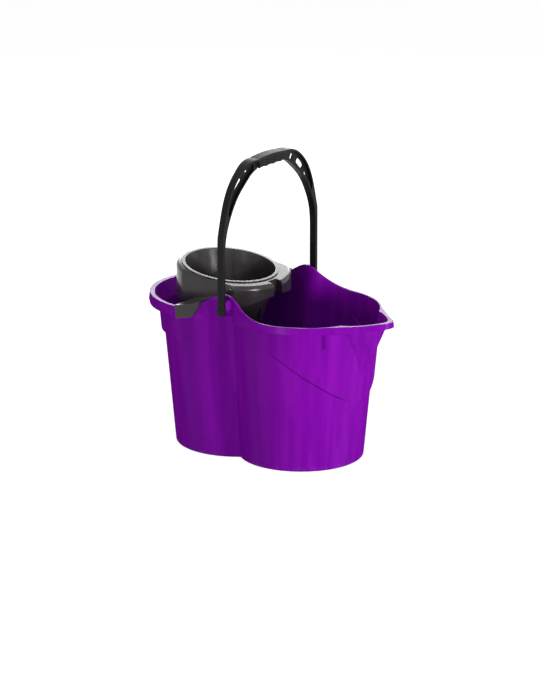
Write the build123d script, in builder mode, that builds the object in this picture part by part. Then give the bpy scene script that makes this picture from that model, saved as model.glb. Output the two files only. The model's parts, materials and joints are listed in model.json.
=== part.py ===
# Mop bucket with a drop-in wringer, in millimetres.
# +X points to the pouring spout, +Z up; the origin is the middle of the foot.
import os
from math import cos, pi, radians, sin, sqrt

from build123d import *

os.makedirs("parts", exist_ok=True)

# Tub walls: two round lobes that lean outwards, joined by a waist
rim_height = 250.0
lobe_offset_foot = 64.1
lobe_offset_rim = 69.5
lobe_radius_foot = 102.4
lobe_radius_rim = 121.5
waist_fill_foot = 1.0
waist_fill_ear = 9.0
wall = 2.6
foot_round = 4.0
foot_recess_depth = 2.0
foot_recess_radius = 57.0
floor = 3.0
section_count = 6

# Ears: the rim climbs on both sides of the waist to carry the handle
ear_rise = 32.5
ear_x = -5.0
ear_run_wringer_side = 110.0
ear_run_spout_side = 90.0
ear_top_share = 0.235
ear_tail_share = 0.65
bead_out = 1.1
bead_height = 5.0

# Rim flange: a turned-down skirt that bulges at mid height and is widest at the two ends
flange_skin = 2.4
flange_wringer_lip = 7.5
flange_wringer_side = 4.5
flange_spout_lip = 4.0
flange_spout_side = 3.3
flange_mid_drop = 12.0
flange_top_taper = 8.0
flange_low_taper = 14.0
skirt_drop_wringer = 18.5
skirt_drop_spout = 11.5
skirt_drop_tip = 6.0

# Spout: a beak that grows out of a raised apron
spout_rise = 5.0
spout_reach = 48.5
spout_half_width = 49.5
spout_shoulder_reach = 4.5
spout_root = 62.0
spout_side_slope = 0.54
spout_bulge = 2.5
spout_tip_round = 16.0
spout_lip = 6.5
spout_lip_radius = 20.0
spout_foot_drop = 94.0
spout_foot_reach = 2.0
spout_foot_length = 9.0
spout_foot_half_width = 6.0
spout_foot_round = 2.5
apron_step = 5.5
apron_drop = 141.5
apron_slope = 0.60
# Planes of the apron's lower edge: their slopes to the side, and their rise in the middle
apron_side_slopes = [-0.36, -0.18, 0.0, 0.18, 0.36]
apron_rises = [0.0, 5.1, 6.9, 5.1, 0.0]

# Tipping ledge: the wall steps outwards at the wringer end and flares to the rim
ledge_drop = 58.0
ledge_step = 7.0
flare_drop = 26.0
flare_step = 10.0

# Small gussets under the flange, one on each side
gusset_angle = 36.5
gusset_width = 5.0
gusset_drop = 36.0
gusset_out = 6.0

# Handle hinge
hinge_x = -3.0
hinge_rise = 12.0
boss_radius = 7.5
boss_reach = 30.0
boss_taper = 32.0
peg_radius = 5.0
peg_clearance = 0.1
peg_length = 9.0
peg_end_play = 0.3
socket_depth = 10.0

# Handle: a bail in the YZ plane
arm_inner_y = 121.4
arm_thickness = 6.0
arm_width = 12.5
arm_end_radius = 7.5
arm_end_drop = 5.0
arm_round = 1.0
strap_end_share = 0.84
strap_skin = 2.7
strap_proud = 0.25
arm_straight_share = 0.3241
bail_rise = 234.5
# Points of the shoulders, as shares of the arm's reach and of the height of their upper end
shoulder_outer = [(0.9827, 0.5373), (0.8909, 0.7207), (0.7300, 0.8785), (0.5181, 0.9646)]
shoulder_inner = [(0.9720, 0.5488), (0.8567, 0.7117), (0.6960, 0.8419), (0.4942, 0.9418)]
grip_seat_half = 37.0
grip_seat_end_drop = 19.5
grip_seat_end_slope = 0.3
grip_arch_radius = 260.0
core_depth = 12.5
bail_flange = 3.3
bail_web = 2.4
pocket_start = 0.05
pocket_end = 0.58
pocket_steps = 6
pocket_round = 0.9
window_widths = [10.5, 9.0, 5.5]
window_lengths = [6.0, 22.0, 9.0]
window_places = [25.0, 53.0, 79.0]
window_round_share = 0.45

# Grip cover on the bail
grip_skin = 2.0
grip_width = 22.5
grip_depth = 17.5
grip_round = 2.2
grip_fit = 0.15
finger_count = 4
finger_wave = 1.4
grip_groove = 1.4
grip_groove_count = 3
rope_levels = [5.2, 8.8, 12.4]
rope_wave = 0.9
rope_depth = 1.0
rope_points = 6

# Wringer: collar on the rim, basket in the collar
wringer_shift = 8.0
wringer_rim_rise = 43.8
wringer_rim_tilt = 7.4
collar_side = 7.0
collar_back = 16.5
collar_front = 31.5
collar_front_offset = 9.0
collar_corner = 16.0
collar_back_corner = 11.0
collar_top_round = 6.5
collar_wall = 2.4
collar_plate = 2.6
collar_drop = 9.0
collar_front_lift = 10.5
collar_arch_rise = 10.0
collar_arch_half_width = 60.0
notch_half_width = 11.0
notch_depth = 14.0
sleeve_depth = 26.0
sleeve_wall = 2.2
hook_back = 18.5
hook_front = 29.5
hook_taper_low = 4.0
hook_taper_high = 20.0
hook_drop = 19.0
hook_skin = 2.6
hook_clearance = 0.4
hook_web = 2.6

# Basket: a slotted cone with a rim that lies on the collar
basket_radius = 73.5
basket_slope = 0.272
basket_wall = 2.2
basket_depth = 153.8
basket_fit = 0.3
basket_rim_width = 3.2
basket_rim = 1.4
slot_count = 12
slot_width = 5.0
slot_lift = 16.0
slot_drop = 63.8
rib_height = 3.0
rib_width = 2.2
rib_drop = 53.8
drain_count = 6
drain_radius = 4.0
drain_circle = 16.0

# Room left around the part for cutting tools
margin = 20.0

# Heights and places that follow from the rim
ear_height = rim_height + ear_rise
skirt_low_wringer = rim_height - skirt_drop_wringer
skirt_low_spout = rim_height - skirt_drop_spout
skirt_low_tip = rim_height - skirt_drop_tip
spout_foot_height = rim_height - spout_foot_drop
apron_low_height = rim_height - apron_drop
ledge_height = rim_height - ledge_drop
flare_height = rim_height - flare_drop
gusset_low = rim_height - gusset_drop
hinge_height = rim_height + hinge_rise
wringer_rim_height = rim_height + wringer_rim_rise
collar_bottom = rim_height - collar_drop
top_of_cuts = ear_height + margin
lobe_end = lobe_offset_rim + lobe_radius_rim
flange_wringer_end = lobe_end + ledge_step + flare_step + flange_wringer_lip
flange_wringer_radius = lobe_radius_rim + flange_wringer_side
flange_spout_end = lobe_end + flange_spout_lip
flange_spout_radius = lobe_radius_rim + flange_spout_side
spout_tip = lobe_end + spout_reach
spout_shoulder = lobe_end + spout_shoulder_reach
spout_foot_tip = lobe_end + spout_foot_reach
spout_foot_shoulder = spout_foot_tip - spout_foot_length
wringer_x = -lobe_offset_rim - wringer_shift

# Places that follow from the hinge and from the basket
bail_top = hinge_height + bail_rise
arm_straight_top = hinge_height + arm_straight_share * bail_rise
grip_seat_end_height = bail_top - grip_seat_end_drop
grip_underside = bail_top - grip_depth
collar_half_width = basket_radius + collar_side
collar_back_radius = basket_radius + collar_back
collar_front_radius = basket_radius + collar_front
collar_front_bottom = collar_bottom + collar_front_lift
hook_low_x = wringer_x - hook_back
hook_high_x = wringer_x + hook_front
basket_bottom = wringer_rim_height - basket_depth
slot_bottom = basket_bottom + slot_lift
slot_top = wringer_rim_height - slot_drop
rib_top = wringer_rim_height - rib_drop


def lobe_radius(height):
    return lobe_radius_foot + (lobe_radius_rim - lobe_radius_foot) * height / rim_height


def lobe_offset(height):
    return lobe_offset_foot + (lobe_offset_rim - lobe_offset_foot) * height / rim_height


def waist_half_width(height):
    crossing = sqrt(lobe_radius(height) ** 2 - lobe_offset(height) ** 2)
    fill = waist_fill_foot + (waist_fill_ear - waist_fill_foot) * (height / ear_height) ** 3
    return crossing + fill


def lobes_section(height, grow):
    """Figure-of-eight outline: two lobe arcs and two tangent waist arcs."""
    radius = lobe_radius(height)
    offset_x = lobe_offset(height)
    waist = waist_half_width(height)
    hollow = (offset_x**2 + waist**2 - radius**2) / (2 * (radius - waist))
    share = radius / (radius + hollow)
    touch_x = offset_x * (1 - share)
    touch_y = (waist + hollow) * share
    reach_x = touch_x + (touch_x - offset_x) * grow / radius
    reach_y = touch_y + touch_y * grow / radius
    end_x = offset_x + radius + grow
    with BuildSketch(Plane.XY.offset(height)) as section:
        with BuildLine():
            ThreePointArc((reach_x, -reach_y), (end_x, 0), (reach_x, reach_y))
            ThreePointArc((reach_x, reach_y), (0, waist + grow), (-reach_x, reach_y))
            ThreePointArc((-reach_x, reach_y), (-end_x, 0), (-reach_x, -reach_y))
            ThreePointArc((-reach_x, -reach_y), (0, -waist - grow), (reach_x, -reach_y))
        make_face()
    return section.sketch


def section_heights(low):
    """Even heights from low to the top of the cuts."""
    return [low + (top_of_cuts - low) * step / (section_count - 1) for step in range(section_count)]


cut_reach = spout_tip + spout_lip + margin


def rim_line(lift):
    """Side view of the rim, from the wringer end to the spout, raised by lift."""
    low = rim_height + lift
    high = ear_height + lift
    start_x = ear_x - ear_run_wringer_side
    end_x = ear_x + ear_run_spout_side
    Line((-cut_reach, low), (start_x, low))
    Bezier(
        (start_x, low),
        (start_x + ear_run_wringer_side * ear_tail_share, low),
        (ear_x - ear_run_wringer_side * ear_top_share, high),
        (ear_x, high),
    )
    Bezier(
        (ear_x, high),
        (ear_x + ear_run_spout_side * ear_top_share, high),
        (end_x - ear_run_spout_side * ear_tail_share, low),
        (end_x, low),
    )
    Line((end_x, low), (spout_shoulder, low))
    Bezier(
        (spout_shoulder, low),
        ((spout_shoulder + spout_tip) / 2, low),
        (spout_tip, low + spout_rise),
        (cut_reach, low + spout_rise),
    )


def rim_band(bottom, top):
    """Face between two copies of the rim line, in the XZ plane."""
    with BuildSketch(Plane.XZ) as band:
        with BuildLine():
            rim_line(bottom)
            rim_line(top)
            Line((-cut_reach, rim_height + bottom), (-cut_reach, rim_height + top))
            right = rim_height + spout_rise
            Line((cut_reach, right + bottom), (cut_reach, right + top))
        make_face()
    return band.sketch


def skirt_band(lift, drop):
    """Face between the rim line and the lower edge of the flange's skirt, which rises to the spout."""
    slope = (skirt_low_spout - skirt_low_wringer) / (spout_shoulder + flange_wringer_end)
    low_left = skirt_low_wringer - slope * (cut_reach - flange_wringer_end) - drop
    tip_slope = (skirt_low_tip - skirt_low_spout) / (spout_tip - spout_shoulder)
    low_right = skirt_low_tip + tip_slope * (cut_reach - spout_tip) - drop
    with BuildSketch(Plane.XZ) as band:
        with BuildLine():
            rim_line(lift)
            Polyline(
                (-cut_reach, rim_height + lift),
                (-cut_reach, low_left),
                (spout_shoulder, skirt_low_spout - drop),
                (cut_reach, low_right),
                (cut_reach, rim_height + spout_rise + lift),
            )
        make_face()
    return band.sketch


def beak_section(height, shoulder, half_width, tip, grow, tip_round):
    """Pointed outline of the spout; grow moves it outwards."""
    side = half_width + grow
    point = tip + grow
    middle_x = (shoulder + point) / 2 + spout_bulge * half_width / spout_half_width
    middle_y = side / 2 + spout_bulge * half_width / spout_half_width
    root_x = shoulder - spout_root
    root_y = side + spout_root * spout_side_slope
    with BuildSketch(Plane.XY.offset(height)) as section:
        with BuildLine():
            Line((root_x, -root_y), (shoulder, -side))
            ThreePointArc((shoulder, -side), (middle_x, -middle_y), (point, 0))
            ThreePointArc((point, 0), (middle_x, middle_y), (shoulder, side))
            Line((shoulder, side), (root_x, root_y))
            Line((root_x, root_y), (root_x, -root_y))
        make_face()
        fillet(section.vertices().sort_by(Axis.X)[-1], tip_round)
    return section.sketch


spout_top = rim_height + spout_rise
apron_low_x = lobe_offset(apron_low_height) + lobe_radius(apron_low_height)


def apron_body(grow, lift):
    """Lobe cone moved towards the spout, kept above planes that rise from the middle to both sides."""
    with BuildPart() as apron:
        for height in (0, top_of_cuts):
            with BuildSketch(Plane.XY.offset(height)):
                with Locations((lobe_offset(height) + apron_step, 0)):
                    Circle(lobe_radius(height) + grow)
        loft()
        for side_slope, rise in zip(apron_side_slopes, apron_rises):
            low_point = (apron_low_x, 0, apron_low_height + rise)
            low_plane = Plane(origin=low_point, z_dir=(apron_slope, side_slope, 1))
            split(bisect_by=low_plane.offset(lift), keep=Keep.TOP)
    return apron.part


def beak_body(grow):
    """Tapered spout from its low point on the apron up to the rim."""
    low = beak_section(
        spout_foot_height, spout_foot_shoulder, spout_foot_half_width, spout_foot_tip, grow, spout_foot_round
    )
    high = beak_section(spout_top, spout_shoulder, spout_half_width, spout_tip, grow, spout_tip_round)
    with BuildPart() as beak:
        loft([low, high])
        extrude(high, amount=margin)
    return beak.part


def ledge_body(grow, low):
    """Lobe cone moved towards the wringer end above the ledge, flaring to the rim."""
    flare_rate = flare_step / (rim_height - flare_height)
    with BuildPart() as ledge:
        for start, end in ((0, flare_height), (flare_height, top_of_cuts)):
            for height in (start, end):
                shift = ledge_step + max(0, height - flare_height) * flare_rate
                with BuildSketch(Plane.XY.offset(height)):
                    with Locations((-lobe_offset(height) - shift, 0)):
                        Circle(lobe_radius(height) + grow)
            loft()
        split(bisect_by=Plane.XY.offset(low), keep=Keep.TOP)
    return ledge.part


with BuildPart() as tub_outside:
    loft([lobes_section(height, 0) for height in section_heights(0)])
    fillet(tub_outside.faces().sort_by(Axis.Z)[0].edges(), foot_round)
    add(apron_body(0, 0))
    add(beak_body(0))
    add(ledge_body(0, ledge_height))

with BuildPart() as tub_inside:
    loft([lobes_section(height, -wall) for height in section_heights(0)])
    with BuildSketch(Plane.XY):
        Rectangle(2 * cut_reach, 2 * cut_reach)
    extrude(amount=foot_recess_depth + floor, mode=Mode.SUBTRACT)
    add(apron_body(-wall, wall))
    add(beak_body(-wall))
    add(ledge_body(-wall, ledge_height + wall))


def flange_outline(height, grow):
    """Plan of the flange: a circle round each lobe, drawn out straight to the round tip of the lip."""
    wringer_centre = flange_wringer_radius - flange_wringer_end
    spout_centre = flange_spout_end - flange_spout_radius
    lip_centre = spout_tip + spout_lip - spout_lip_radius
    lean_x = (flange_spout_radius - spout_lip_radius) / (lip_centre - spout_centre)
    lean_y = sqrt(1 - lean_x**2)
    lobe, tip = flange_spout_radius + grow, spout_lip_radius + grow
    lobe_x, lobe_y = spout_centre + lobe * lean_x, lobe * lean_y
    tip_x, tip_y = lip_centre + tip * lean_x, tip * lean_y
    with BuildSketch(Plane.XY.offset(height)) as outline:
        with BuildLine():
            Line((lobe_x, -lobe_y), (tip_x, -tip_y))
            ThreePointArc((tip_x, -tip_y), (lip_centre + tip, 0), (tip_x, tip_y))
            Line((tip_x, tip_y), (lobe_x, lobe_y))
            ThreePointArc((lobe_x, lobe_y), (spout_centre - lobe, 0), (lobe_x, -lobe_y))
        make_face()
        with Locations((wringer_centre, 0)):
            Circle(flange_wringer_radius + grow)
    return outline.sketch


flange_mid = rim_height - flange_mid_drop


def flange_body(grow):
    """Flange outline that narrows above and below its middle height."""
    with BuildPart() as body:
        extrude(flange_outline(flange_mid, grow), amount=top_of_cuts - flange_mid, taper=flange_top_taper)
        lower = skirt_low_wringer - margin - flange_mid
        extrude(flange_outline(flange_mid, grow), amount=lower, taper=flange_low_taper)
    return body.part


with BuildPart() as flange:
    add(flange_body(0))
    extrude(skirt_band(0, 0), amount=cut_reach, both=True, mode=Mode.INTERSECT)

with BuildPart() as flange_hollow:
    add(flange_body(-flange_skin))
    extrude(skirt_band(-flange_skin, margin), amount=cut_reach, both=True, mode=Mode.INTERSECT)

with BuildPart() as rim_bead:
    loft([lobes_section(height, bead_out) for height in section_heights(0)])
    extrude(rim_band(-bead_height, 0), amount=cut_reach, both=True, mode=Mode.INTERSECT)

gusset_x = lobe_offset_rim + lobe_radius_rim * cos(radians(gusset_angle))
gusset_y = lobe_radius_rim * sin(radians(gusset_angle))

with BuildPart() as gussets:
    for side in (-1, 1):
        with BuildSketch(Plane.XY.offset(gusset_low)):
            Polygon(
                (lobe_offset_rim, 0),
                (gusset_x + gusset_width / 2, side * (gusset_y + gusset_out)),
                (gusset_x - gusset_width / 2, side * (gusset_y + gusset_out)),
                align=None,
            )
        extrude(amount=flange_mid - gusset_low)

boss_face = arm_inner_y - peg_end_play
hinge_plane = Plane(origin=(hinge_x, 0, hinge_height), x_dir=(1, 0, 0), z_dir=(0, 1, 0))

with BuildPart() as bucket:
    add(flange.part)
    add(flange_hollow.part, mode=Mode.SUBTRACT)
    add(gussets.part)
    add(tub_outside.part)
    add(rim_bead.part)
    for side in (-1, 1):
        with BuildSketch(hinge_plane.offset(side * boss_face)):
            Circle(boss_radius)
        extrude(amount=-side * boss_reach, taper=-boss_taper)
    extrude(rim_band(0, ear_height), amount=cut_reach, both=True, mode=Mode.SUBTRACT)
    add(tub_inside.part, mode=Mode.SUBTRACT)
    for side in (-1, 1):
        with BuildSketch(hinge_plane.offset(side * boss_face)):
            Circle(peg_radius + peg_clearance)
        extrude(amount=-side * socket_depth, mode=Mode.SUBTRACT)
    with BuildSketch(Plane.XY):
        with Locations((-lobe_offset_foot, 0), (lobe_offset_foot, 0)):
            Circle(foot_recess_radius)
    extrude(amount=foot_recess_depth, mode=Mode.SUBTRACT)

bucket.part.label = "bucket"
export_step(bucket.part, "parts/bucket.step")


arm_outer_y = arm_inner_y + arm_thickness
arm_end_height = hinge_height - arm_end_drop
core_bottom = bail_top - core_depth
grip_arch_drop = grip_arch_radius - sqrt(grip_arch_radius**2 - grip_seat_half**2)
grip_seat_height = bail_top - grip_arch_drop
grip_arch_slope = (grip_arch_radius - grip_arch_drop, -grip_seat_half)


def shoulder_points(shares, arm_y, rise):
    """Points of a shoulder's edge, from shares of the arm's reach and of the edge's rise."""
    return [(arm_y * across, hinge_height + rise * up) for across, up in shares]


def outer_edge():
    """Outer edge of the rear shoulder, from the grip seat down to the straight arm."""
    start = (grip_seat_half, grip_seat_height)
    end = (arm_outer_y, arm_straight_top)
    points = reversed(shoulder_points(shoulder_outer, arm_outer_y, bail_rise))
    return Spline([start, *points, end], tangents=[grip_arch_slope, (0, -1)])


def inner_edge():
    """Inner edge of the rear shoulder, from the straight arm up to the grip seat."""
    start = (arm_inner_y, arm_straight_top)
    end = (grip_seat_half, grip_seat_end_height)
    points = shoulder_points(shoulder_inner, arm_inner_y, bail_rise - grip_seat_end_drop)
    return Spline([start, *points, end], tangents=[(0, 1), (-1, grip_seat_end_slope)])


def shifted(edge, shares, distance):
    """Points along an edge, moved to its left by a distance."""
    return [edge.position_at(t) + edge.tangent_at(t).rotate(Axis.Z, 90) * distance for t in shares]


def bail_section():
    """Side view of the bail: both arms, the shoulders and the thin core under the grip."""
    with BuildSketch() as section:
        with BuildLine():
            Line((0, bail_top - grip_skin), (0, core_bottom))
            Line((0, core_bottom), (grip_seat_half, core_bottom))
            Line((grip_seat_half, core_bottom), (grip_seat_half, grip_seat_end_height))
            inner_edge()
            Line((arm_inner_y, arm_straight_top), (arm_inner_y, arm_end_height))
            Line((arm_inner_y, arm_end_height), (arm_outer_y, arm_end_height))
            Line((arm_outer_y, arm_end_height), (arm_outer_y, arm_straight_top))
            outer_edge()
            core_end = grip_seat_height - grip_skin
            Line((grip_seat_half, grip_seat_height), (grip_seat_half, core_end))
            RadiusArc((grip_seat_half, core_end), (0, bail_top - grip_skin), grip_arch_radius)
        make_face()
        mirror(about=Plane.YZ)
    return section.sketch


def strap_section():
    """Side view of the straps along the outer edge of both shoulders."""
    with BuildLine(mode=Mode.PRIVATE):
        outer = outer_edge()
    shares = [strap_end_share * step / pocket_steps for step in range(pocket_steps + 1)]
    low_side = shifted(outer, shares, -strap_skin)
    high_side = shifted(outer, shares, strap_proud)
    with BuildSketch() as straps:
        with BuildLine():
            Spline(high_side)
            Line(high_side[-1], low_side[-1])
            Spline(low_side)
            Line(low_side[0], high_side[0])
        make_face()
        mirror(about=Plane.YZ)
    return straps.sketch


def strap_plan():
    """Plan of the straps: as wide as the grip at its ends, narrowing to the arms."""
    half = grip_width / 2
    end_half = arm_width / 2 - arm_round
    end_y = arm_outer_y * strap_end_share
    with BuildSketch() as plan:
        with BuildLine():
            Line((-half, grip_seat_half), (half, grip_seat_half))
            Bezier(
                (half, grip_seat_half),
                (half, (grip_seat_half + end_y) / 2),
                (end_half, (grip_seat_half + end_y) / 2),
                (end_half, end_y),
            )
            Line((end_half, end_y), (-end_half, end_y))
            Bezier(
                (-end_half, end_y),
                (-end_half, (grip_seat_half + end_y) / 2),
                (-half, (grip_seat_half + end_y) / 2),
                (-half, grip_seat_half),
            )
        make_face()
        mirror(about=Plane.XZ)
    return plan.sketch


def shoulder_pockets():
    """Faces inside both shoulders, a flange away from their edges."""
    with BuildLine(mode=Mode.PRIVATE):
        outer = outer_edge()
        inner = inner_edge()
    pocket_step = (pocket_end - pocket_start) / pocket_steps
    shares = [pocket_start + pocket_step * step for step in range(pocket_steps + 1)]
    low_side = shifted(outer, shares, -bail_flange)
    high_side = shifted(inner, [1 - share for share in shares], -bail_flange)
    with BuildSketch() as pockets:
        with BuildLine():
            Spline(low_side)
            Line(low_side[-1], high_side[-1])
            Spline(high_side)
            Line(high_side[0], low_side[0])
        make_face()
        fillet(pockets.vertices(), pocket_round)
        mirror(about=Plane.YZ)
    return pockets.sketch


def shoulder_windows():
    """Slots through both webs, one after another along the shoulder's middle line."""
    with BuildLine(mode=Mode.PRIVATE):
        outer = outer_edge()
        inner = inner_edge()
        shares = [step / pocket_steps for step in range(pocket_steps)]
        middle = Spline([(outer.position_at(share) + inner.position_at(1 - share)) / 2 for share in shares])
    with BuildSketch() as windows:
        for place, length, width in zip(window_places, window_lengths, window_widths):
            share = place / middle.length
            heading = middle.tangent_at(share)
            turn = Vector(1, 0, 0).get_signed_angle(heading, Vector(0, 0, 1))
            with Locations(Location(middle.position_at(share), (0, 0, turn))):
                RectangleRounded(length, width, min(length, width) * window_round_share)
        mirror(about=Plane.YZ)
    return windows.sketch


bail_plane = Plane.YZ.offset(hinge_x)
bail_face = bail_section()
pocket_faces = shoulder_pockets()
strap_face = strap_section()
strap_shape = strap_plan()
window_faces = shoulder_windows()

with BuildPart() as straps:
    with BuildSketch(bail_plane):
        add(strap_face)
    extrude(amount=grip_width / 2, both=True)
    with BuildSketch(Plane(origin=(hinge_x, 0, 0))):
        add(strap_shape)
    extrude(amount=bail_top + margin, mode=Mode.INTERSECT)
    long_edges = straps.edges().filter_by(lambda edge: edge.length > grip_seat_half)
    side_edges = long_edges.filter_by(lambda edge: abs(edge.center().X - hinge_x) > arm_width / 2)
    fillet(side_edges.sort_by(Axis.Z)[-4:], grip_round)

with BuildPart() as bail_handle:
    with BuildSketch(bail_plane):
        add(bail_face)
    extrude(amount=arm_width / 2, both=True)
    long_edges = bail_handle.edges().filter_by(lambda edge: edge.length > 2 * grip_seat_half)
    arm_edges = long_edges.filter_by(lambda edge: abs(edge.center().Y) > grip_seat_half)
    fillet(arm_edges.filter_by(lambda edge: abs(edge.center().X - hinge_x) > arm_round), arm_round)
    for side in (-1, 1):
        with BuildSketch(bail_plane.offset(side * arm_width / 2)):
            add(pocket_faces)
        extrude(amount=-side * (arm_width - bail_web) / 2, mode=Mode.SUBTRACT)
    with BuildSketch(bail_plane):
        add(window_faces)
    extrude(amount=arm_width, both=True, mode=Mode.SUBTRACT)
    add(straps.part)
    for side in (-1, 1):
        arm_plane = hinge_plane.offset(side * arm_inner_y)
        with BuildSketch(arm_plane):
            with Locations((0, arm_end_drop)):
                Circle(arm_end_radius)
        extrude(amount=side * arm_thickness)
        with BuildSketch(arm_plane):
            Circle(peg_radius)
        extrude(amount=-side * peg_length)

bail_handle.part.label = "bail_handle"
export_step(bail_handle.part, "parts/bail_handle.step")


def grip_section(grow, underside):
    """Side view of the grip: the bail's arch moved outwards by grow, down to a straight underside."""
    with BuildSketch() as section:
        with Locations((0, bail_top - grip_arch_radius)):
            Circle(grip_arch_radius + grow)
        with Locations((0, underside)):
            Rectangle(2 * grip_seat_half, bail_top, align=(Align.CENTER, Align.MIN), mode=Mode.INTERSECT)
    return section.sketch


def finger_waves():
    """Shallow arcs along the underside, one for each finger."""
    wave = 2 * grip_seat_half / finger_count
    with BuildSketch() as waves:
        for finger in range(finger_count):
            start = -grip_seat_half + finger * wave
            with BuildLine():
                Line((start, grip_underside), (start + wave, grip_underside))
                ThreePointArc(
                    (start, grip_underside),
                    (start + wave / 2, grip_underside + finger_wave),
                    (start + wave, grip_underside),
                )
            make_face()
    return waves.sketch


def rope_grooves():
    """Wavy lines along the side of the grip, in step with the finger waves."""
    wave = 2 * grip_seat_half / finger_count
    count = finger_count * rope_points
    with BuildSketch() as grooves:
        for level in rope_levels:
            line = []
            for step in range(count + 1):
                across = -grip_seat_half + step * wave / rope_points
                arch = sqrt(grip_arch_radius**2 - across**2) - grip_arch_radius
                ripple = rope_wave * cos(2 * pi * across / wave)
                line.append(Vector(across, bail_top + arch - level - ripple))
            above = [point + Vector(0, grip_groove / 2) for point in line]
            below = [point - Vector(0, grip_groove / 2) for point in line]
            with BuildLine():
                Spline(above)
                Line(above[-1], below[-1])
                Spline(below)
                Line(below[0], above[0])
            make_face()
    return grooves.sketch


grip_face = grip_section(0, grip_underside)
rope_faces = rope_grooves()
grip_bore_face = grip_section(grip_fit - grip_skin, core_bottom - grip_fit)
wave_faces = finger_waves()

with BuildPart() as handle_grip:
    with BuildSketch(bail_plane):
        add(grip_face)
    extrude(amount=grip_width / 2, both=True)
    top_face = handle_grip.faces().sort_by(Axis.Z)[-1]
    fillet(top_face.edges().sort_by(SortBy.LENGTH)[-2:], grip_round)
    with BuildSketch(bail_plane):
        add(wave_faces)
    extrude(amount=grip_width, both=True, mode=Mode.SUBTRACT)
    with BuildSketch(bail_plane):
        add(grip_bore_face)
    extrude(amount=arm_width / 2 + grip_fit, both=True, mode=Mode.SUBTRACT)
    for side in (-1, 1):
        with BuildSketch(bail_plane.offset(side * grip_width / 2)):
            add(rope_faces)
        extrude(amount=-side * rope_depth, mode=Mode.SUBTRACT)
    with BuildSketch(Plane.XZ):
        with Locations((hinge_x, grip_underside)):
            with GridLocations(grip_width / (grip_groove_count + 1), 1, grip_groove_count, 1):
                Rectangle(grip_groove, 2 * (grip_groove + finger_wave))
    extrude(amount=grip_seat_half, both=True, mode=Mode.SUBTRACT)

handle_grip.part.label = "handle_grip"
export_step(handle_grip.part, "parts/handle_grip.step")

wringer_top = wringer_rim_height + margin
wringer_plane = Plane(origin=(wringer_x, 0, wringer_rim_height)).rotated((0, wringer_rim_tilt, 0))
cone_skin = basket_wall * sqrt(1 + basket_slope**2)


def cone_body(bottom, grow):
    """Solid cone along the basket's axis; grow 0 is the basket's inner face."""
    low_radius = basket_radius + basket_slope * (bottom - wringer_rim_height) + grow
    high_radius = basket_radius + basket_slope * (wringer_top - wringer_rim_height) + grow
    with BuildPart() as cone:
        with Locations((wringer_x, 0, bottom)):
            standing = (Align.CENTER, Align.CENTER, Align.MIN)
            Cone(low_radius, high_radius, wringer_top - bottom, align=standing)
    return cone.part


def collar_body(inset, below):
    """Block of the collar: flat sides, a round back, a bowed front and a rounded top edge."""
    half = collar_half_width - inset
    back_radius = collar_back_radius - inset
    front_radius = collar_front_radius - inset
    front_centre = wringer_x - collar_front_offset
    back_x = wringer_x - sqrt(back_radius**2 - half**2)
    front_x = front_centre + sqrt(front_radius**2 - half**2)
    with BuildPart() as body:
        with BuildSketch(Plane.XY.offset(collar_bottom)) as outline:
            with BuildLine():
                Line((back_x, -half), (front_x, -half))
                ThreePointArc((front_x, -half), (front_centre + front_radius, 0), (front_x, half))
                Line((front_x, half), (back_x, half))
                ThreePointArc((back_x, half), (wringer_x - back_radius, 0), (back_x, -half))
            make_face()
            fillet(outline.vertices().sort_by(Axis.X)[-2:], collar_corner - inset)
            fillet(outline.vertices().sort_by(Axis.X)[:2], collar_back_corner - inset)
        extrude(amount=wringer_top - collar_bottom)
        split(bisect_by=wringer_plane.offset(-below), keep=Keep.BOTTOM)
        fillet(body.faces().sort_by(Axis.Z)[-1].edges(), collar_top_round - below)
        with BuildSketch(Plane.XY.offset(collar_bottom)):
            with Locations((front_centre + collar_front_radius, 0)):
                Rectangle(2 * (notch_depth + inset), 2 * (notch_half_width + inset))
        extrude(amount=wringer_top - collar_bottom, mode=Mode.SUBTRACT)
    return body.part


with BuildPart() as collar_sleeve:
    add(cone_body(wringer_rim_height - sleeve_depth, cone_skin + basket_fit + sleeve_wall))
    split(bisect_by=wringer_plane, keep=Keep.BOTTOM)

flange_centre = flange_wringer_radius - flange_wringer_end
hook_top = hook_clearance + hook_skin
hook_middle_x = (hook_low_x + hook_high_x) / 2
hook_low = rim_height - hook_drop - margin


def hook_reach(grow):
    """Flange and bead together, grown, as far as both hooks are wide."""
    with BuildPart() as reach:
        loft([lobes_section(height, bead_out + grow) for height in section_heights(hook_low)])
        with BuildSketch(Plane.XY):
            with Locations((flange_centre, 0)):
                Circle(flange_wringer_radius + grow)
        extrude(amount=top_of_cuts)
        with BuildSketch(Plane.XY.offset(hook_low)):
            with Locations((hook_middle_x, 0)):
                Rectangle(hook_high_x - hook_low_x, 4 * flange_wringer_radius)
                Rectangle(hook_high_x - hook_low_x, 2 * collar_half_width - collar_wall, mode=Mode.SUBTRACT)
        extrude(amount=top_of_cuts - hook_low, mode=Mode.INTERSECT)
    return reach.part


with BuildPart() as hook_space:
    add(hook_reach(hook_clearance))
    extrude(rim_band(-hook_drop - margin, hook_clearance), amount=cut_reach, both=True, mode=Mode.INTERSECT)

with BuildPart() as hooks:
    add(hook_reach(hook_clearance + hook_skin))
    extrude(rim_band(-hook_drop, hook_top), amount=cut_reach, both=True, mode=Mode.INTERSECT)
    add(hook_space.part, mode=Mode.SUBTRACT)
    with BuildSketch(Plane.XZ):
        for edge_x, inwards in ((hook_low_x, hook_taper_low), (hook_high_x, -hook_taper_high)):
            Polygon(
                (edge_x, rim_height + hook_drop / 2),
                (edge_x + inwards, rim_height - hook_drop),
                (edge_x + inwards, rim_height - hook_drop - margin),
                (edge_x, rim_height - hook_drop - margin),
                align=None,
            )
    extrude(amount=cut_reach, both=True, mode=Mode.SUBTRACT)

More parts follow.
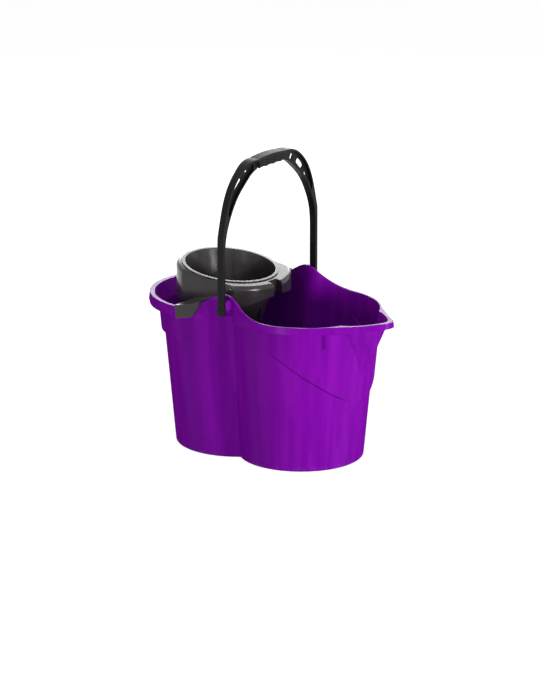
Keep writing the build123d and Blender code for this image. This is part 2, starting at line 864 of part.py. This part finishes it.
web_tip_y = lobe_radius_rim - wall - 2 * hook_web

with BuildPart() as wringer_collar:
    add(collar_body(0, 0))
    add(collar_body(collar_wall, collar_plate), mode=Mode.SUBTRACT)
    add(collar_sleeve.part)
    add(cone_body(collar_bottom, cone_skin + basket_fit), mode=Mode.SUBTRACT)
    front_x = wringer_x - collar_front_offset + sqrt(collar_front_radius**2 - collar_half_width**2)
    with BuildSketch(Plane.YZ.offset(front_x)):
        with Locations((0, collar_bottom)):
            Rectangle(
                2 * collar_half_width,
                collar_front_bottom - collar_bottom,
                align=(Align.CENTER, Align.MIN),
            )
        with BuildLine():
            arch_left = (-collar_arch_half_width, collar_front_bottom)
            arch_right = (collar_arch_half_width, collar_front_bottom)
            Line(arch_left, arch_right)
            ThreePointArc(arch_left, (0, collar_front_bottom + collar_arch_rise), arch_right)
        make_face()
    extrude(amount=collar_front_radius, mode=Mode.SUBTRACT)
    add(hooks.part)
    with BuildSketch(Plane.YZ.offset(hook_middle_x)):
        for side in (-1, 1):
            Polygon(
                (side * (collar_half_width - collar_wall / 2), collar_bottom),
                (side * (collar_half_width - collar_wall / 2), rim_height + hook_top),
                (side * web_tip_y, rim_height + hook_top),
                align=None,
            )
    extrude(amount=hook_web / 2, both=True)

wringer_collar.part.label = "wringer_collar"
export_step(wringer_collar.part, "parts/wringer_collar.step")


def basket_ribs():
    """Upright ribs on the inner face, between the slots."""
    with BuildPart() as ribs:
        with Locations((wringer_x, 0, basket_bottom)):
            with PolarLocations(0, slot_count, start_angle=180 / slot_count):
                Box(
                    basket_radius,
                    rib_width,
                    rib_top - basket_bottom,
                    align=(Align.MIN, Align.CENTER, Align.MIN),
                )
        add(cone_body(basket_bottom, basket_wall / 2), mode=Mode.INTERSECT)
        add(cone_body(basket_bottom, -rib_height), mode=Mode.SUBTRACT)
    return ribs.part


with BuildPart() as basket_rim_ring:
    add(cone_body(wringer_rim_height - margin, cone_skin + basket_rim_width))
    split(bisect_by=wringer_plane, keep=Keep.TOP)

with BuildPart() as wringer_basket:
    add(cone_body(basket_bottom, cone_skin))
    add(basket_rim_ring.part)
    split(bisect_by=wringer_plane.offset(basket_rim), keep=Keep.BOTTOM)
    add(cone_body(basket_bottom + basket_wall, 0), mode=Mode.SUBTRACT)
    add(basket_ribs())
    with Locations((wringer_x, 0, slot_bottom)):
        with PolarLocations(0, slot_count):
            Box(
                basket_radius,
                slot_width,
                slot_top - slot_bottom,
                align=(Align.MIN, Align.CENTER, Align.MIN),
                mode=Mode.SUBTRACT,
            )
    with BuildSketch(Plane.XY.offset(basket_bottom)):
        with Locations((wringer_x, 0)):
            Circle(drain_radius)
            with PolarLocations(drain_circle, drain_count):
                Circle(drain_radius)
    extrude(amount=basket_wall, mode=Mode.SUBTRACT)

wringer_basket.part.label = "wringer_basket"
export_step(wringer_basket.part, "parts/wringer_basket.step")
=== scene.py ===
# %% [markdown]
# A household mop bucket: a glossy purple tub shaped like a figure of eight, a black bail handle
# with a textured grip, and a dark grey wringer that hangs over the rim. All five pieces are
# rigid mouldings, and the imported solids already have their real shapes. So this lesson keeps
# the solids as they are and spends its effort on what solids can't show: how each plastic
# looks up close, and how a plain white studio lights it.

# %% Load the frame
import json
import math

import bmesh
import bpy
from mathutils import Matrix, Vector

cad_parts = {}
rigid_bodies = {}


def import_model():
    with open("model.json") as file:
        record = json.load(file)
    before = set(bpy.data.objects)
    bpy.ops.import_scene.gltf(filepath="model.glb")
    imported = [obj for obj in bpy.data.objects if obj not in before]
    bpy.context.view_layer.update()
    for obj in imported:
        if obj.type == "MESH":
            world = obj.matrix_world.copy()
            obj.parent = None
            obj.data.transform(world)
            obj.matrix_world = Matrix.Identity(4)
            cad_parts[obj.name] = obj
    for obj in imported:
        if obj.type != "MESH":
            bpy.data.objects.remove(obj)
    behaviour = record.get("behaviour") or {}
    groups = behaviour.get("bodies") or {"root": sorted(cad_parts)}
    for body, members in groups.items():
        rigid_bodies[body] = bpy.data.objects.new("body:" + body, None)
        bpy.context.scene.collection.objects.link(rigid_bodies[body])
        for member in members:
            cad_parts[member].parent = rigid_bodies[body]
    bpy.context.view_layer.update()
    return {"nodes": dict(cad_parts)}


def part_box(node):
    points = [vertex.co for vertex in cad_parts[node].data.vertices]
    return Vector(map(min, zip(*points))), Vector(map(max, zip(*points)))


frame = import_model()
nodes = frame["nodes"]
MM_PER_METRE = 1000
for name in sorted(nodes):
    low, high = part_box(name)
    size = [round((b - a) * MM_PER_METRE) for a, b in zip(low, high)]
    print(name, "measures", size, "mm")

# %% [markdown]
# Blender opens with a cube, a lamp and a camera. They would ride on no body, so they go first.

# %% Empty the stage
for leftover in [o for o in bpy.data.objects if o.name in ("Cube", "Light", "Camera")]:
    bpy.data.objects.remove(leftover)
scene = bpy.context.scene

# %% [markdown]
# Every finish below is a small net of nodes, and the same few steps come back each time. The first
# step is a pattern, read in object space. That means metres from the foot of the bucket, so a
# scale of 1000 is a pattern of about one millimetre, and the pattern stays on its piece when the
# piece moves. Noise gives soft clouds, and cells give grain like leather or sand.


# %% Helpers for patterns
def start_finish(name):
    """A new material, its net, its shader and its object coordinates."""
    finish = bpy.data.materials.new(name)
    finish.use_nodes = True
    net = finish.node_tree
    coords = net.nodes.new("ShaderNodeTexCoord")
    return finish, net, net.nodes["Principled BSDF"], coords.outputs["Object"]


def stretch(net, coords, scale):
    """Object coordinates scaled differently along each axis."""
    mapping = net.nodes.new("ShaderNodeMapping")
    mapping.inputs["Scale"].default_value = scale
    net.links.new(coords, mapping.inputs["Vector"])
    return mapping.outputs["Vector"]


def noise(net, coords, scale=1.0, detail=4.0, roughness=0.5):
    """Soft random pattern; scale counts its lumps in a metre."""
    texture = net.nodes.new("ShaderNodeTexNoise")
    texture.inputs["Scale"].default_value = scale
    texture.inputs["Detail"].default_value = detail
    texture.inputs["Roughness"].default_value = roughness
    net.links.new(coords, texture.inputs["Vector"])
    return texture.outputs["Fac"]


def cells(net, coords, scale):
    """Pattern of cells; each point's value is its distance from the middle of its cell."""
    texture = net.nodes.new("ShaderNodeTexVoronoi")
    texture.inputs["Scale"].default_value = scale
    net.links.new(coords, texture.inputs["Vector"])
    return texture.outputs["Distance"]


print("patterns: noise and cells, plain or stretched")

# %% [markdown]
# A raw noise hardly ever reaches 0 or 1: most of it lies between 0.3 and 0.7. So a range picks the
# part that matters and spreads it over the values that the finish needs. Ranges, sums, products
# and mixes of colours then turn a few patterns into a whole finish.

# %% Helpers for ranges and mixes
NOISE_MIDDLE = (0.3, 0.7)
RISING = (0.0, 1.0)
FALLING = (1.0, 0.0)


def span(net, value, found, wanted):
    """A value in the range found becomes one in the range wanted, and stays inside it."""
    ranger = net.nodes.new("ShaderNodeMapRange")
    ranger.interpolation_type = "SMOOTHSTEP"
    sockets = ("From Min", "From Max", "To Min", "To Max")
    for socket, number in zip(sockets, (*found, *wanted)):
        ranger.inputs[socket].default_value = number
    net.links.new(value, ranger.inputs["Value"])
    return ranger.outputs["Result"]


def combine(net, operation, first, second):
    """One step of arithmetic; second is a number or another value, and a sum stops at 1."""
    step = net.nodes.new("ShaderNodeMath")
    step.operation = operation
    step.use_clamp = operation == "ADD"
    net.links.new(first, step.inputs[0])
    if isinstance(second, float):
        step.inputs[1].default_value = second
    else:
        net.links.new(second, step.inputs[1])
    return step.outputs["Value"]


def blend_colours(net, share, first, second):
    """Mix of two colours; each is a colour or the result of another mix."""
    mix = net.nodes.new("ShaderNodeMix")
    mix.data_type = "RGBA"
    net.links.new(share, mix.inputs["Factor"])
    for socket, colour in ((mix.inputs["A"], first), (mix.inputs["B"], second)):
        if isinstance(colour, tuple):
            socket.default_value = (*colour, 1.0)
        else:
            net.links.new(colour, socket)
    return mix.outputs["Result"]


print("most noise lies between", *NOISE_MIDDLE)

# %% [markdown]
# Relief far finer than a wall is thick is cheapest as bump: it bends the light and leaves the mesh
# alone. Moulded edges are never quite sharp either, so the Bevel node rounds the light over them.
# The last two helpers read directions. One finds height, or how level a face is. The other finds
# where a wall turns away from the viewer, because gloss behaves differently there.

# %% Helpers for relief and direction
EDGE_SAMPLES = 8
GLANCING_FROM_TO = (0.30, 0.62)
LEVEL_FROM_TO = (0.3, 0.8)


def relief(net, height, depth, strength, under):
    """Bump of a depth in metres, laid over another normal."""
    bump = net.nodes.new("ShaderNodeBump")
    bump.inputs["Distance"].default_value = depth
    bump.inputs["Strength"].default_value = strength
    net.links.new(height, bump.inputs["Height"])
    net.links.new(under, bump.inputs["Normal"])
    return bump.outputs["Normal"]


def soft_edges(net, radius):
    """Normals rounded near every edge, as a mould leaves them."""
    bevel = net.nodes.new("ShaderNodeBevel")
    bevel.samples = EDGE_SAMPLES
    bevel.inputs["Radius"].default_value = radius
    return bevel.outputs["Normal"]


def upward(net, vector):
    """Upward part of a vector: a point's height in metres, or how level a face is."""
    split = net.nodes.new("ShaderNodeSeparateXYZ")
    net.links.new(vector, split.inputs["Vector"])
    return split.outputs["Z"]


def wall_outline(net):
    """1 where an upright wall turns away from the viewer, 0 head-on and on level faces."""
    view = net.nodes.new("ShaderNodeLayerWeight")
    glancing = span(net, view.outputs["Facing"], GLANCING_FROM_TO, RISING)
    surface = net.nodes.new("ShaderNodeNewGeometry")
    upright = span(net, upward(net, surface.outputs["Normal"]), LEVEL_FROM_TO, FALLING)
    return combine(net, "MULTIPLY", glancing, upright)


print("edges are rounded with", EDGE_SAMPLES, "samples")

# %% [markdown]
# A finish ends in the same way each time: colour, roughness and relief are linked to the shader,
# and one number says how strongly the plastic mirrors when it is looked at head-on. That number is
# the same all over a piece, so it is set on the socket itself.


# %% Helpers that dress a piece
def complete_finish(net, shader, colour, roughness, normal, mirror):
    """Link what a finish is made of to its shader."""
    net.links.new(colour, shader.inputs["Base Color"])
    net.links.new(roughness, shader.inputs["Roughness"])
    net.links.new(normal, shader.inputs["Normal"])
    shader.inputs["Specular IOR Level"].default_value = mirror


def wear_as(node, finish):
    """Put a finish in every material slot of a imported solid."""
    for slot in range(len(nodes[node].data.materials)):
        nodes[node].data.materials[slot] = finish
    print(node, "wears", finish.name)


print("pieces to dress:", len(nodes))

# %% [markdown]
# The tub is polypropylene from a polished mould. Up close the purple isn't even: the melt leaves
# broad clouds a little darker than the rest, and paler upright streaks where it ran up the walls.
# The streaks are noise that is stretched until it is over twenty times taller than wide.

# %% Purple tub: colour
PURPLE = (0.280, 0.0029, 0.492)
CLOUD_PURPLE = (0.252, 0.0026, 0.462)
STREAK_PURPLE = (0.385, 0.011, 0.615)
CLOUDS_PER_METRE = 9.0
CLOUD_RANGE = (0.32, 0.68)
STREAKS_PER_METRE = (70.0, 70.0, 3.0)
STREAK_RANGE = (0.40, 0.66)
STREAK_SHARE = (0.0, 0.42)

purple, net, shader, coords = start_finish("purple_polypropylene")
clouds = span(net, noise(net, coords, CLOUDS_PER_METRE), CLOUD_RANGE, RISING)
tub_colour = blend_colours(net, clouds, PURPLE, CLOUD_PURPLE)
streaks = noise(net, stretch(net, coords, STREAKS_PER_METRE))
streak_share = span(net, streaks, STREAK_RANGE, STREAK_SHARE)
tub_colour = blend_colours(net, streak_share, tub_colour, STREAK_PURPLE)
print("streaks take up to", STREAK_SHARE[1], "of the colour")

# %% [markdown]
# A bucket is pushed over floors, so its foot is scuffed: the colour turns paler and the gloss
# duller in small patches. The foot is found by height, and a rough noise breaks it into patches.

# %% Purple tub: scuffed foot
SCUFFED_PURPLE = (0.42, 0.14, 0.56)
SCUFF_TOP = 0.012
SCUFFS_PER_METRE = 160.0
SCUFF_RANGE = (0.48, 0.72)
SCUFF_PALENESS = 0.5

foot_share = span(net, upward(net, coords), (0.0, SCUFF_TOP), FALLING)
scratches = noise(net, coords, SCUFFS_PER_METRE, detail=6.0, roughness=0.7)
scuff = combine(net, "MULTIPLY", foot_share, span(net, scratches, SCUFF_RANGE, RISING))
paleness = combine(net, "MULTIPLY", scuff, SCUFF_PALENESS)
tub_colour = blend_colours(net, paleness, tub_colour, SCUFFED_PURPLE)
print("scuffs reach", SCUFF_TOP * MM_PER_METRE, "mm up from the floor")

# %% [markdown]
# The gloss of a moulded wall is broken by a very fine orange peel, and the streaks are felt as well
# as seen. A white room would draw a pale line along the outline of the walls, so their gloss turns
# dull there, and only the level rim mirrors it.

# %% Purple tub: gloss and relief
TUB_ROUGHNESS = (0.18, 0.27)
TUB_MIRROR = 0.04
TUB_EDGE = 0.0012
HAZE_PER_METRE = 38.0
SCUFF_DULLNESS = 0.4
PEEL_PER_METRE = 420.0

haze = noise(net, coords, HAZE_PER_METRE, detail=5.0, roughness=0.6)
gloss = span(net, haze, NOISE_MIDDLE, TUB_ROUGHNESS)
dull = combine(net, "ADD", gloss, combine(net, "MULTIPLY", scuff, SCUFF_DULLNESS))
dull = combine(net, "ADD", dull, wall_outline(net))
peel = noise(net, coords, PEEL_PER_METRE, detail=2.0)
tub_skin = relief(net, peel, depth=0.0004, strength=0.05, under=soft_edges(net, TUB_EDGE))
tub_skin = relief(net, streaks, depth=0.0006, strength=0.06, under=tub_skin)
complete_finish(net, shader, tub_colour, dull, tub_skin, TUB_MIRROR)
wear_as("bucket", purple)

# %% [markdown]
# The bail is black polypropylene with a satin mould. Its sheen comes from a fine spark-eroded
# grain, about half a millimetre wide, and the arms are a little more worn near the hinge, where
# they rub on the tub. The hinge is found by height, as the foot was.

# %% Black bail: colour
BAIL_BLACK = (0.008, 0.008, 0.0083)
BAIL_PALER = (0.013, 0.0128, 0.013)
BAIL_WORN = (0.050, 0.049, 0.050)
BAIL_TONES_PER_METRE = 45.0
HINGE_FROM_TO = (0.25, 0.30)
HINGE_RUBS_PER_METRE = 210.0
HINGE_RUB_RANGE = (0.45, 0.7)
HINGE_RUB_SHARE = (0.0, 0.6)

black, net, shader, coords = start_finish("black_satin_plastic")
tone = span(net, noise(net, coords, BAIL_TONES_PER_METRE), NOISE_MIDDLE, RISING)
bail_colour = blend_colours(net, tone, BAIL_BLACK, BAIL_PALER)
hinge_share = span(net, upward(net, coords), HINGE_FROM_TO, FALLING)
rubs = noise(net, coords, HINGE_RUBS_PER_METRE, detail=5.0, roughness=0.7)
rubbed = span(net, rubs, HINGE_RUB_RANGE, HINGE_RUB_SHARE)
hinge_wear = combine(net, "MULTIPLY", hinge_share, rubbed)
bail_colour = blend_colours(net, hinge_wear, bail_colour, BAIL_WORN)
print("bail is worn below", HINGE_FROM_TO[1], "m")

# %% [markdown]
# Satin is a matter of roughness: the bail is nearly twice as rough as the tub, so a lamp shows in
# it as a wide soft streak. The grain is made of cells, because each spark leaves a tiny crater.

# %% Black bail: sheen and grain
BAIL_ROUGHNESS = (0.34, 0.46)
BAIL_MIRROR = 0.12
BAIL_EDGE = 0.0010
BAIL_HAZE_PER_METRE = 90.0
CRATERS_PER_METRE = 1900.0

sheen = span(net, noise(net, coords, BAIL_HAZE_PER_METRE), NOISE_MIDDLE, BAIL_ROUGHNESS)
craters = cells(net, coords, CRATERS_PER_METRE)
grain = relief(net, craters, depth=0.0002, strength=0.12, under=soft_edges(net, BAIL_EDGE))
complete_finish(net, shader, bail_colour, sheen, grain, BAIL_MIRROR)
wear_as("bail_handle", black)

# %% [markdown]
# The grip sleeve is the same black in a rougher mould, so that it doesn't slip in a wet hand.
# Dimples a millimetre wide and a finer noise give it a leather grain, and it reflects more softly
# than the bail. The ridges between the dimples are painted paler and the dimples stay darker: a
# painted highlight on the ridges and painted shade in the dimples, so the grain shows in flat light
# too.

# %% Textured grip
GRIP_BLACK = (0.008, 0.008, 0.0083)
GRIP_PALER = (0.014, 0.0138, 0.014)
# The ridge colour is a painted highlight, paler than the grip's own black.
GRIP_RIDGE_HIGHLIGHT = (0.028, 0.0275, 0.028)
GRIP_TONES_PER_METRE = 70.0
DIMPLES_PER_METRE = 900.0
FINE_GRAINS_PER_METRE = 2600.0
RIDGE_HIGHLIGHT_RANGE = (0.0, 0.5)
RIDGE_HIGHLIGHT_SHARE = (0.0, 0.35)
GRIP_ROUGHNESS = (0.44, 0.58)
GRIP_MIRROR = 0.15
GRIP_EDGE = 0.0010

sleeve, net, shader, coords = start_finish("textured_grip_plastic")
tone = span(net, noise(net, coords, GRIP_TONES_PER_METRE), NOISE_MIDDLE, RISING)
grip_colour = blend_colours(net, tone, GRIP_BLACK, GRIP_PALER)
dimples = cells(net, coords, DIMPLES_PER_METRE)
# Painted highlight on the ridges and painted shade in the dimple hollows, following the bump's
# cells.
painted_ridge_highlight = span(net, dimples, RIDGE_HIGHLIGHT_RANGE, RIDGE_HIGHLIGHT_SHARE)
grip_colour = blend_colours(net, painted_ridge_highlight, grip_colour, GRIP_RIDGE_HIGHLIGHT)
fine = noise(net, coords, FINE_GRAINS_PER_METRE, detail=2.0)
softness = span(net, fine, NOISE_MIDDLE, GRIP_ROUGHNESS)
leather = relief(net, dimples, depth=0.0005, strength=0.22, under=soft_edges(net, GRIP_EDGE))
leather = relief(net, fine, depth=0.0002, strength=0.10, under=leather)
complete_finish(net, shader, grip_colour, softness, leather, GRIP_MIRROR)
wear_as("handle_grip", sleeve)

# %% [markdown]
# The wringer is a dark warm grey with a high polish. A recycled blend shows in it as swirls a
# shade lighter, about twice as wide as they are tall. Mops rub the cone and the collar, so small
# patches are paler. Its reflections are a little warm, which is what the specular tint does.

# %% Grey wringer: colour
GREY = (0.036, 0.0308, 0.0318)
SWIRL_GREY = (0.048, 0.0414, 0.0424)
RUBBED_GREY = (0.068, 0.060, 0.0612)
WARM_REFLECTION = (1.0, 0.93, 0.94, 1.0)
SWIRLS_PER_METRE = (26.0, 26.0, 60.0)
SWIRL_RANGE = (0.35, 0.7)
MOP_RUBS_PER_METRE = 260.0
MOP_RUB_RANGE = (0.55, 0.75)
MOP_RUB_SHARE = (0.0, 0.5)

grey, net, shader, coords = start_finish("grey_polished_plastic")
swirls = noise(net, stretch(net, coords, SWIRLS_PER_METRE), detail=5.0, roughness=0.55)
grey_colour = blend_colours(net, span(net, swirls, SWIRL_RANGE, RISING), GREY, SWIRL_GREY)
rubs = noise(net, coords, MOP_RUBS_PER_METRE, detail=6.0, roughness=0.7)
rubbed = span(net, rubs, MOP_RUB_RANGE, MOP_RUB_SHARE)
grey_colour = blend_colours(net, rubbed, grey_colour, RUBBED_GREY)
shader.inputs["Specular Tint"].default_value = WARM_REFLECTION
print("swirls per metre along each axis:", SWIRLS_PER_METRE)

# %% [markdown]
# The polish is as fine as the tub's, but this plastic mirrors ten times as strongly, so the lamps
# show in the collar's round shoulder as pale bands. Both pieces of the wringer share the finish.

# %% Grey wringer: polish
WRINGER_ROUGHNESS = (0.17, 0.27)
WRINGER_MIRROR = 0.40
WRINGER_EDGE = 0.0012
POLISH_PER_METRE = 55.0
WRINGER_PEEL_PER_METRE = 500.0

polish = noise(net, coords, POLISH_PER_METRE, detail=5.0, roughness=0.6)
polish = span(net, polish, NOISE_MIDDLE, WRINGER_ROUGHNESS)
peel = noise(net, coords, WRINGER_PEEL_PER_METRE, detail=2.0)
wringer_skin = relief(net, peel, depth=0.0004, strength=0.05, under=soft_edges(net, WRINGER_EDGE))
complete_finish(net, shader, grey_colour, polish, wringer_skin, WRINGER_MIRROR)
wear_as("wringer_collar", grey)
wear_as("wringer_basket", grey)

# %% [markdown]
# The floor is a wide sheet that belongs to the studio and rides on no body. It starts as a circle
# of vertices that is filled.

# %% Floor sheet
FLOOR_RADIUS = 30.0
FLOOR_POINTS = 64

mesh = bpy.data.meshes.new("studio_floor")
sheet = bmesh.new()
bmesh.ops.create_circle(sheet, cap_ends=True, radius=FLOOR_RADIUS, segments=FLOOR_POINTS)
sheet.to_mesh(mesh)
sheet.free()
floor = bpy.data.objects.new("studio_floor", mesh)
scene.collection.objects.link(floor)
print("floor radius", FLOOR_RADIUS, "m")

# %% [markdown]
# The lamps alone would leave the floor grey, so it glows almost white, but only for rays from the
# camera and for reflections. The object gets no extra light from it, and its shadow stays.

# %% Floor finish
FLOOR_GREY = (0.55, 0.55, 0.55)
FLOOR_PALER = (0.58, 0.58, 0.58)
FLOOR_ROUGHNESS = 0.9
FLOOR_MIRROR = 0.0
FLOOR_GLOW = 0.90
MOTTLES_PER_METRE = 3.0
WHITE = (1.0, 1.0, 1.0, 1.0)


def seen_directly(net):
    """1 for rays from the camera, in reflections and through clear material, otherwise 0."""
    path = net.nodes.new("ShaderNodeLightPath")
    seen = combine(net, "ADD", path.outputs["Is Camera Ray"], path.outputs["Is Glossy Ray"])
    return combine(net, "ADD", seen, path.outputs["Is Transmission Ray"])


pale, net, shader, coords = start_finish("pale_floor")
mottle = span(net, noise(net, coords, MOTTLES_PER_METRE), NOISE_MIDDLE, RISING)
floor_colour = blend_colours(net, mottle, FLOOR_GREY, FLOOR_PALER)
glow = combine(net, "MULTIPLY", seen_directly(net), FLOOR_GLOW)
net.links.new(floor_colour, shader.inputs["Base Color"])
net.links.new(glow, shader.inputs["Emission Strength"])
shader.inputs["Emission Color"].default_value = WHITE
shader.inputs["Roughness"].default_value = FLOOR_ROUGHNESS
shader.inputs["Specular IOR Level"].default_value = FLOOR_MIRROR
mesh.materials.append(pale)
print("floor glows at", FLOOR_GLOW)

# %% [markdown]
# The studio is white all round when it is looked at, and dimmer as a lamp, so the soft boxes
# shape the object. Standard view keeps colours as they are written.

# %% World
SKY_LIGHT = 0.13
SKY_SEEN = 1.0

world = bpy.data.worlds.new("white_studio")
world.use_nodes = True
scene.world = world
net = world.node_tree
background = net.nodes["Background"]
background.inputs["Color"].default_value = WHITE
sky = span(net, seen_directly(net), RISING, (SKY_LIGHT, SKY_SEEN))
net.links.new(sky, background.inputs["Strength"])
scene.view_settings.view_transform = "Standard"
print("sky lights at", SKY_LIGHT)

# %% [markdown]
# Each soft box is placed by the side of the object it lights: an angle round the upright axis,
# a height angle and a distance. The right box is the key, and the front one fills. The top one is
# long and narrow, so the collar's round shoulder mirrors it as a pale band. The back one is seen
# only at a glancing angle: in the rim, in the collar's flat top and along the grip.

# %% Soft boxes
LIGHT_AIM = Vector((0.0, 0.0, 0.18))


def soft_box(name, around, above, distance, width, height, power):
    """Rectangular lamp that faces the object, in degrees, metres and watts."""
    lamp = bpy.data.lights.new(name, "AREA")
    lamp.shape = "RECTANGLE"
    lamp.size, lamp.size_y, lamp.energy = width, height, power
    box = bpy.data.objects.new(name, lamp)
    turn, lift = math.radians(around), math.radians(above)
    level = math.cos(lift)
    outward = Vector((math.cos(turn) * level, math.sin(turn) * level, math.sin(lift)))
    box.location = LIGHT_AIM + outward * distance
    box.rotation_euler = outward.to_track_quat("Z", "Y").to_euler()
    scene.collection.objects.link(box)
    print(name, "at", [round(x, 2) for x in box.location])


soft_box("key_right", around=-4.0, above=4.0, distance=2.4, width=0.5, height=0.7, power=33.0)
soft_box("fill_front", around=-86.0, above=3.0, distance=2.8, width=0.6, height=0.7, power=17.0)
soft_box("top", around=-53.0, above=80.0, distance=2.0, width=0.4, height=0.9, power=8.0)
soft_box("back", around=127.0, above=18.0, distance=2.6, width=1.6, height=0.7, power=20.0)

# %% [markdown]
# The photograph is taken from the right of the front, a little above the rim, with a long lens
# from far away, so that upright lines stay upright. The picture is 540 by 700 pixels, and
# one pixel is 1.633 mm at the middle of the bucket.

# %% Camera place
AROUND, ABOVE = math.radians(37.0), math.radians(17.0)
DISTANCE = 8.0
CAMERA_AIM = Vector((0.0, 0.0, 0.150))

lens = bpy.data.cameras.new("studio_camera")
camera = bpy.data.objects.new("studio_camera", lens)
scene.collection.objects.link(camera)
scene.camera = camera
level = math.cos(ABOVE)
back = Vector((math.sin(AROUND) * level, -math.cos(AROUND) * level, math.sin(ABOVE)))
right = Vector((math.cos(AROUND), math.sin(AROUND), 0.0))
turn = Matrix((right, back.cross(right), back)).transposed().to_4x4()
camera.matrix_world = Matrix.Translation(CAMERA_AIM + back * DISTANCE) @ turn
print("camera at", [round(x, 2) for x in CAMERA_AIM + back * DISTANCE])

# %% [markdown]
# The lens follows from the size of a pixel: the sensor has to hold all the picture's rows at the
# camera's distance. A small shift puts the point that the camera aims at on its own pixel.

# %% Lens
PICTURE_WIDTH, PICTURE_HEIGHT = 540, 700
METRES_PER_PIXEL = 0.001633
CENTRE_PIXEL = (269.5, 358.0)
SENSOR_HEIGHT = 36.0
VIEW_DEPTH = 100.0

lens.sensor_fit = "VERTICAL"
lens.sensor_height = SENSOR_HEIGHT
lens.lens = DISTANCE / METRES_PER_PIXEL * SENSOR_HEIGHT / PICTURE_HEIGHT
lens.shift_x = (PICTURE_WIDTH / 2 - CENTRE_PIXEL[0]) / PICTURE_HEIGHT
lens.shift_y = (CENTRE_PIXEL[1] - PICTURE_HEIGHT / 2) / PICTURE_HEIGHT
lens.clip_end = VIEW_DEPTH
print("lens", round(lens.lens, 1), "mm")
